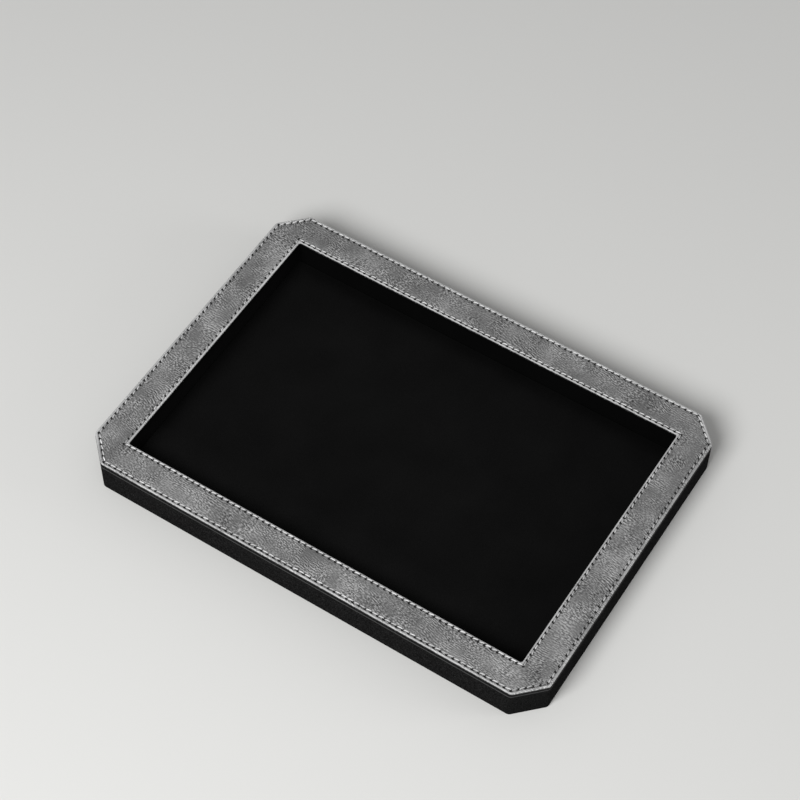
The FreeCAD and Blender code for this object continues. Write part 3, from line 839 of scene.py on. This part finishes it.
deselect_all()
bpy.ops.mesh.primitive_cube_add(size=1.0, location=(wrap_low + wrap_high) / 2)
bpy.context.object.scale = wrap_high - wrap_low
wrap = named("side_band_leatherette")
open_piece(wrap)
pick(wrap, "EDGE", is_upright)
bpy.ops.mesh.bevel(offset=CORNER_CLIP, affect="EDGES", segments=1)
pick(wrap, "FACE", lambda middle, normal: abs(normal.z) > LEVEL)
bpy.ops.mesh.inset(thickness=WRAP_TURN)
bpy.ops.mesh.delete(type="FACE")
pick(wrap, "EDGE", is_upright)
bpy.ops.mesh.bevel(offset=CORNER_ROUND * ROUND_SHARE, affect="EDGES", segments=6)
pick(wrap, "EDGE", is_outermost)
bpy.ops.mesh.bevel(offset=WRAP_EDGE, affect="EDGES", segments=4)
for cut in (-JOINT_HALF, 0.0, JOINT_HALF):
    pick(wrap, "FACE", lambda middle, normal: middle.y > BACK_FROM)
    bpy.ops.mesh.bisect(plane_co=(cut, 0, 0), plane_no=(1, 0, 0))
thicken(wrap, WRAP_SKIN)
points = points_of(wrap)
joint = (np.abs(points[:, 0]) < HAIR) & (points[:, 1] > wrap_high.y - HAIR)
points[joint, 1] -= JOINT_DEPTH
set_points(wrap, points)
smooth(wrap, degrees=40)
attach(wrap, "root")
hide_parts("side_wrap")
print("band:", triangles(wrap), "triangles")

# %% [markdown]
# Leatherette is embossed vinyl or polyurethane on cloth, here with a fine pebble grain of about
# half a millimetre. It is matt and nearly black, with no mirror reflection at all, which would
# show the pale stage and turn the sides grey. Just below the rim panel a faint grey line is
# painted on: a painted highlight, as of a rounded edge catching the light.

# %% Black leatherette
# Depth below the top of the band that holds the painted highlight line.
HIGHLIGHT_BAND_DEPTH = 2.2  # mm below the top of the band
PEBBLE_SIZE = 0.55
MOTTLE_SIZE = 0.6

leatherette, tree, shader, millimetres = new_material("embossed_black_leatherette")
pebbles = put(tree, "TexVoronoi", {
    "Vector": millimetres, "Scale": 1 / PEBBLE_SIZE, "Randomness": 0.9}, feature="SMOOTH_F1")
mottle = put(tree, "TexNoise", {"Vector": millimetres, "Scale": 1 / MOTTLE_SIZE, "Detail": 1.0})
height = put(tree, "SeparateXYZ", {"Vector": millimetres}).outputs["Z"]
# A painted highlight: a faint grey line about a millimetre below the top of the band.
highlight_height = put(tree, "MapRange", {
    "Value": height, "From Min": wrap_high.z / MM - HIGHLIGHT_BAND_DEPTH, "From Max": wrap_high.z / MM})
rubbed_wear_and_painted_highlight = put(tree, "ValToRGB", {"Fac": highlight_height.outputs[0]}, stops=[
    (0.2, "#000000"), (0.4, "#d0d0d0"), (0.6, "#d0d0d0"), (0.8, "#000000")])
highlight_and_mottle = put(tree, "Math", {0: rubbed_wear_and_painted_highlight.outputs[0], 1: mottle.outputs["Fac"]}, operation="ADD")
black = put(tree, "ValToRGB", {"Fac": highlight_and_mottle.outputs[0]}, stops=[
    (0.3, "#0b0b0b"), (0.65, "#202020"), (1.0, "#424242")])
bump = put(tree, "Bump", {
    "Height": pebbles.outputs["Distance"], "Strength": 0.35, "Distance": 0.12 * MM}, invert=True)
set_inputs(tree, shader, {
    "Base Color": black.outputs[0], "Normal": bump.outputs[0], "Roughness": 0.5,
    "Specular IOR Level": 0.0})
wrap.data.materials.append(leatherette)
print("leatherette ready")

# %% [markdown]
# Each inside wall is a strip of velvet, glued to the rail and turned over its top, under the rim
# panel. A plane is stood up, its top edge is extruded outwards, the ends of the flap are spread
# to a mitre, and the bend is rounded. The front and left walls are modelled, and copies turned
# half round make the rear and right ones.

# %% Velvet walls
LINING_SKIN = 0.6 * MM
LINING_BEND = 0.7 * MM
WALL_GRID = (  # axis, length above which an edge along it is cut, and number of parts
    (2, PART_LENGTH, 6), (0, SIDE_LENGTH, 10), (0, PART_LENGTH, 8))
WALL_HILLS = 0.07 * MM
WALL_SPACING = 15 * MM  # from one hill to the next
FOOT_FADE = 3 * MM  # the hills end before the foot, the ends and the top
END_FADE = 6 * MM
TOP_FADE = (17 * MM, 19 * MM)

wall_low, wall_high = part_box("front_lining")
LINING_TURN = wall_high.y - wall_low.y


def velvet_wall(name, half_along, half_across):
    """A wall lining at the front, facing into the well."""
    deselect_all()
    bpy.ops.mesh.primitive_plane_add(size=2.0, rotation=(-math.pi / 2, 0, 0))
    bpy.context.object.scale = (half_along, (wall_high.z - wall_low.z) / 2, 1)
    bpy.context.object.location = (0, -half_across, (wall_high.z + wall_low.z) / 2)
    wall = named(name)
    open_piece(wall)

    def at_top(a, b):
        return min(a.z, b.z) > wall_high.z - HAIR

    pick(wall, "EDGE", at_top)
    bpy.ops.mesh.extrude_region_move(TRANSFORM_OT_translate={"value": (0, -LINING_TURN, 0)})
    bpy.ops.transform.resize(value=((half_along + LINING_TURN) / half_along, 1, 1))
    pick(wall, "EDGE", lambda a, b: at_top(a, b) and min(a.y, b.y) > -half_across - HAIR)
    bpy.ops.mesh.bevel(offset=LINING_BEND, affect="EDGES", segments=4)
    for axis, longer_than, parts in WALL_GRID:
        split_edges(wall, runs_along(axis, longer_than), parts)
    thicken(wall, LINING_SKIN)
    points = points_of(wall)
    face = points[:, 1] > -half_across - HAIR
    from_ends = half_along - np.abs(points[face, 0])
    room = ease(wall_low.z, wall_low.z + FOOT_FADE, points[face, 2])
    room *= ease(0.0, END_FADE, from_ends)
    room *= 1 - ease(*TOP_FADE, points[face, 2])
    points[face, 1] -= WALL_HILLS * (1 + swelling(points[face], WALL_SPACING, seed=3)) * room
    set_points(wall, points)
    smooth(wall, degrees=40)
    return wall


def turned_copy(piece, name, turns):
    """A copy with its own mesh, turned about the tray's middle by quarter turns."""
    make_active(piece)
    bpy.ops.object.duplicate()
    bpy.context.object.rotation_euler = (0, 0, turns * math.pi / 2)
    return named(name)


front = velvet_wall("front_wall_velvet", WELL_X, WELL_Y)
rear = turned_copy(front, "rear_wall_velvet", turns=2)
side = velvet_wall("side_wall_velvet", WELL_Y, WELL_X)
right = turned_copy(side, "right_wall_velvet", turns=1)
left = turned_copy(right, "left_wall_velvet", turns=2)
bpy.data.objects.remove(side)
walls = {"front": front, "rear": rear, "left": left, "right": right}
print("velvet walls:", {side: triangles(wall) for side, wall in walls.items()})

# %% [markdown]
# The floor is a loose pad: velvet drawn over thin foam and card, and turned under. A grid is the
# start, because the pad's surface is not quite flat. Its edge is extruded down and then under,
# bevels round it, and the middle gets long shallow hills. The pad is only two millimetres thick,
# too thin for a cloth simulation to show, so the hills are moved in code. Each corner of the mesh
# is marked for painted shade along the rear and left walls and painted light along the front wall.

# %% Velvet floor pad
FLOOR_SKIN = 0.4 * MM
FLOOR_TURN = 10.0 * MM
FLOOR_ROUND = 0.6 * MM
FLOOR_HILLS = 0.10 * MM
FLOOR_SPACING = 32 * MM  # from one hill to the next
SIDE_FADE = 6 * MM  # the hills end before the sides
# Painted shade along the rear and left walls, and painted light along the front wall against the
# shadow it casts.
WALL_SHADE_REACH = 12 * MM  # how far from the rear and left walls
FRONT_LIGHT_REACH = (11 * MM, 31 * MM)  # full and faded out, from the front wall
FRONT_LIGHT_SHARE = 2  # times as strong as the painted shade

pad_low, pad_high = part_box("floor_velvet")


def along_edge_at(height):
    """A test for edges that run along the pad's outline at one height."""
    def test(a, b):
        level = abs(a.z - height) + abs(b.z - height) < HAIR
        along_x = min(abs(a.y), abs(b.y)) > pad_high.y - HAIR
        along_y = min(abs(a.x), abs(b.x)) > pad_high.x - HAIR
        return level and (along_x or along_y)
    return test


deselect_all()
bpy.ops.mesh.primitive_grid_add(
    x_subdivisions=96, y_subdivisions=64, size=2.0, location=(0, 0, pad_high.z))
bpy.context.object.scale = (pad_high.x, pad_high.y, 1)
pad = named("floor_pad_velvet")
open_piece(pad)
pick_open_edges(pad)
bpy.ops.mesh.extrude_region_move(TRANSFORM_OT_translate={"value": (0, 0, pad_low.z - pad_high.z)})
bpy.ops.mesh.extrude_region_move()
bpy.ops.transform.resize(value=(1 - FLOOR_TURN / pad_high.x, 1 - FLOOR_TURN / pad_high.y, 1))
pick(pad, "EDGE", along_edge_at(pad_high.z))
bpy.ops.mesh.bevel(offset=FLOOR_ROUND, affect="EDGES", segments=4)
pick(pad, "EDGE", along_edge_at(pad_low.z))
bpy.ops.mesh.bevel(offset=FLOOR_ROUND / 2, affect="EDGES", segments=2)
face_outwards()
thicken(pad, FLOOR_SKIN)
points = points_of(pad)
face = points[:, 2] > pad_high.z - HAIR
x, y = points[face, 0], points[face, 1]
in_from_side = np.minimum(pad_high.x - np.abs(x), pad_high.y - np.abs(y))
room = ease(FLOOR_ROUND, SIDE_FADE, in_from_side)
points[face, 2] -= FLOOR_HILLS * (1 + swelling(points[face], FLOOR_SPACING, seed=4)) * room
set_points(pad, points)
smooth(pad, degrees=40)
# Painted shade near the rear and left walls, painted light near the front wall.
to_wall = np.minimum(pad_high.x + points[:, 0], pad_high.y - points[:, 1])
painted_light = 1 - ease(*FRONT_LIGHT_REACH, pad_high.y + points[:, 1])
pile_shade_and_light = 1 - ease(0.0, WALL_SHADE_REACH, to_wall) - FRONT_LIGHT_SHARE * painted_light
mark(pad, "painted_shade_and_light", pile_shade_and_light)
print("floor pad:", triangles(pad), "triangles, top", round(points[:, 2].max() / MM, 2), "mm")

# %% [markdown]
# Velvet is cut pile: fibres that stand up and swallow light, so it looks almost black from above
# and shows a soft grey bloom where it is seen along the surface. A sheen layer gives the bloom,
# a fine noise the pile, and a broad one the faint strokes left by brushing it. The walls and the
# pad's rounded edge get a darker copy of the velvet with little bloom: painted shade. On the pad
# the marks on the mesh paint shade along the rear and left walls, and paint light along the front
# wall, where its own cast shadow falls.

# %% Black velvet
PILE_SIZE = 0.35  # mm, a tuft of several fibres, because single ones are too fine to show
BRUSH_SIZE = 28
PAINTED_SHADE_SHIFT = -0.15  # shift towards black under the painted shade
PAINTED_SHADE_BLOOM = 0.5  # share of the bloom that is left there
LIT_VELVET_LEVEL = 0.98  # faces less level than this get the painted-shade velvet


def velvet(name, dark, light, painted_light, bloom):
    """Cut pile between two blacks, and a third colour for painted light, with a soft bloom."""
    material, tree, shader, millimetres = new_material(name)
    brushed = put(tree, "TexNoise", {"Vector": millimetres, "Scale": 1 / BRUSH_SIZE, "Detail": 2.0})
    pile = put(tree, "TexNoise", {
        "Vector": millimetres, "Scale": 1 / PILE_SIZE, "Detail": 2.0, "Roughness": 0.6})
    both = put(tree, "Mix", {"Factor": 0.38, "A": pile.outputs["Fac"], "B": brushed.outputs["Fac"]})
    # This mark darkens the pile as painted shade, and lightens it as painted light.
    shade_and_light_mark = put(tree, "Attribute", attribute_name="painted_shade_and_light")
    shaded = put(tree, "Math", {
        0: shade_and_light_mark.outputs["Fac"], 1: PAINTED_SHADE_SHIFT, 2: both.outputs["Result"]},
        operation="MULTIPLY_ADD")
    black = put(tree, "ValToRGB", {"Fac": shaded.outputs[0]}, stops=[
        (0.0, "#000000"), (0.35, dark), (0.65, light), (0.85, painted_light)])
    bump = put(tree, "Bump", {"Height": pile.outputs["Fac"], "Strength": 0.4, "Distance": 0.2 * MM})
    lit = put(tree, "MapRange", {
        "Value": shade_and_light_mark.outputs["Fac"], "To Min": bloom, "To Max": PAINTED_SHADE_BLOOM * bloom})
    set_inputs(tree, shader, {
        "Base Color": black.outputs[0], "Normal": bump.outputs[0], "Roughness": 1.0,
        "Specular IOR Level": 0.02, "Sheen Weight": lit.outputs[0], "Sheen Roughness": 0.45})
    return material


# The walls get a darker copy with little bloom: painted shade.
velvet_painted_shade = velvet("black_velvet_painted_shade", "#020202", "#050505", "#050505", bloom=0.015)
floor_velvet = velvet("black_velvet_standing_pile", "#060606", "#0d0d0d", "#141414", bloom=0.1)
for side, wall in walls.items():
    wall.data.materials.append(velvet_painted_shade)
    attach(wall, "root")
    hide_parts(side + "_lining")
pad.data.materials.append(floor_velvet)
# The pad's rounded edge takes the darker copy too: painted shade.
pad.data.materials.append(velvet_painted_shade)
for face in pad.data.polygons:
    face.material_index = int(face.normal.z < LIT_VELVET_LEVEL)
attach(pad, "root")
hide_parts("floor_velvet")
print("velvet on", len(walls) + 1, "pieces")

# %% [markdown]
# A felt sheet covers the underside, so that the tray does not scratch a glass counter. It laps
# onto the turned-under leatherette, and in the middle it is pressed up against the board. A plane
# gets the corner cuts, two insets draw the step, and the middle is lifted.

# %% Felt underside
FELT_SHEET = 0.4 * MM
FELT_LAP = 4.2 * MM
FELT_STEP = 0.3 * MM
FELT_LIFT = 0.6 * MM
FELT_FIBRES = 0.8  # mm

felt_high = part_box("bottom_cover")[1]
felt_inset = wrap_high.x - felt_high.x
deselect_all()
bpy.ops.mesh.primitive_plane_add(size=2.0)
bpy.context.object.scale = (felt_high.x, felt_high.y, 1)
felt = named("underside_felt")
open_piece(felt)
bpy.ops.mesh.select_all(action="SELECT")
bpy.ops.mesh.bevel(offset=CORNER_CLIP - felt_inset * CLIP_SHARE, affect="VERTICES", segments=1)
bpy.ops.mesh.select_mode(type="FACE")
bpy.ops.mesh.inset(thickness=FELT_LAP)
bpy.ops.mesh.inset(thickness=FELT_STEP)
bpy.ops.transform.translate(value=(0, 0, FELT_LIFT))
bpy.ops.mesh.select_all(action="SELECT")
bpy.ops.mesh.flip_normals()
thicken(felt, FELT_SHEET)
add_modifier(felt, "BEVEL", width=0.1 * MM, segments=2, limit_method="ANGLE")
smooth(felt, degrees=40)

felt_cloth, tree, shader, millimetres = new_material("pressed_black_felt")
fibres = put(tree, "TexNoise", {
    "Vector": millimetres, "Scale": 1 / FELT_FIBRES, "Detail": 5.0, "Roughness": 0.7,
    "Distortion": 1.5})
black = put(tree, "ValToRGB", {"Fac": fibres.outputs["Fac"]}, stops=[
    (0.3, "#0d0d0d"), (0.7, "#1d1d1d")])
bump = put(tree, "Bump", {"Height": fibres.outputs["Fac"], "Strength": 0.6, "Distance": 0.2 * MM})
set_inputs(tree, shader, {
    "Base Color": black.outputs[0], "Normal": bump.outputs[0], "Roughness": 0.95,
    "Specular IOR Level": 0.1, "Sheen Weight": 0.1})
felt.data.materials.append(felt_cloth)
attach(felt, "root")
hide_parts("bottom_cover")
heights = points_of(felt)[:, 2] / MM
print("felt:", triangles(felt), "triangles, from", round(heights.min(), 2), "to",
      round(heights.max(), 2), "mm")

# %% [markdown]
# Under the covers are the frame's own parts, which stay as they were measured: rails and board of
# fibreboard, card and foam, bent nails and brads of steel. They hardly show, but whoever takes
# the tray apart should find the right stuff, so each kind gets its own finish.

# %% Hidden parts
RAILS = ["front_rail", "rear_rail", "left_rail", "right_rail"]
HIDDEN = {  # a pattern, its settings and output, two colours, roughness, metal and the parts
    "medium_density_fibreboard": (
        "TexNoise", {"Scale": 1 / 0.6, "Detail": 6.0, "Roughness": 0.7}, "Fac",
        [(0.3, "#8a6a48"), (0.7, "#b3936b")], 0.85, 0.0,
        RAILS + ["base_board"]),
    "black_grey_board": (
        "TexNoise", {"Scale": 1 / 0.4, "Detail": 4.0, "Roughness": 0.6}, "Fac",
        [(0.3, "#0e0e0e"), (0.7, "#1e1e1e")], 0.9, 0.0, ["rim_card", "floor_card"]),
    "soft_polyurethane_foam": (
        "TexVoronoi", {"Scale": 1 / 0.4}, "Distance",
        [(0.0, "#1a1a1a"), (0.6, "#4a4a4a")], 0.95, 0.0, ["floor_foam"]),
    "bright_drawn_steel": (
        "TexNoise", {"Scale": 1 / 0.3, "Detail": 2.0}, "Fac",
        [(0.3, "#b4b4b6"), (0.7, "#d2d2d4")], 0.35, 1.0, ["corner_v_nails", "base_brads"]),
}
for name, (kind, settings, output, colours, roughness, metal, parts) in HIDDEN.items():
    material, tree, shader, millimetres = new_material(name)
    pattern = put(tree, kind, {"Vector": millimetres, **settings})
    colour = put(tree, "ValToRGB", {"Fac": pattern.outputs[output]}, stops=colours)
    set_inputs(tree, shader, {
        "Base Color": colour.outputs[0], "Roughness": roughness, "Metallic": metal})
    for node in parts:
        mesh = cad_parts[node].data
        mesh.materials.clear()
        mesh.materials.append(material)
print("hidden parts:", sum(len(finish[-1]) for finish in HIDDEN.values()))

# %% [markdown]
# Every covering here was cut from a sheet.

# %% Sheets
print("sheets declared:", 4 + len(walls))
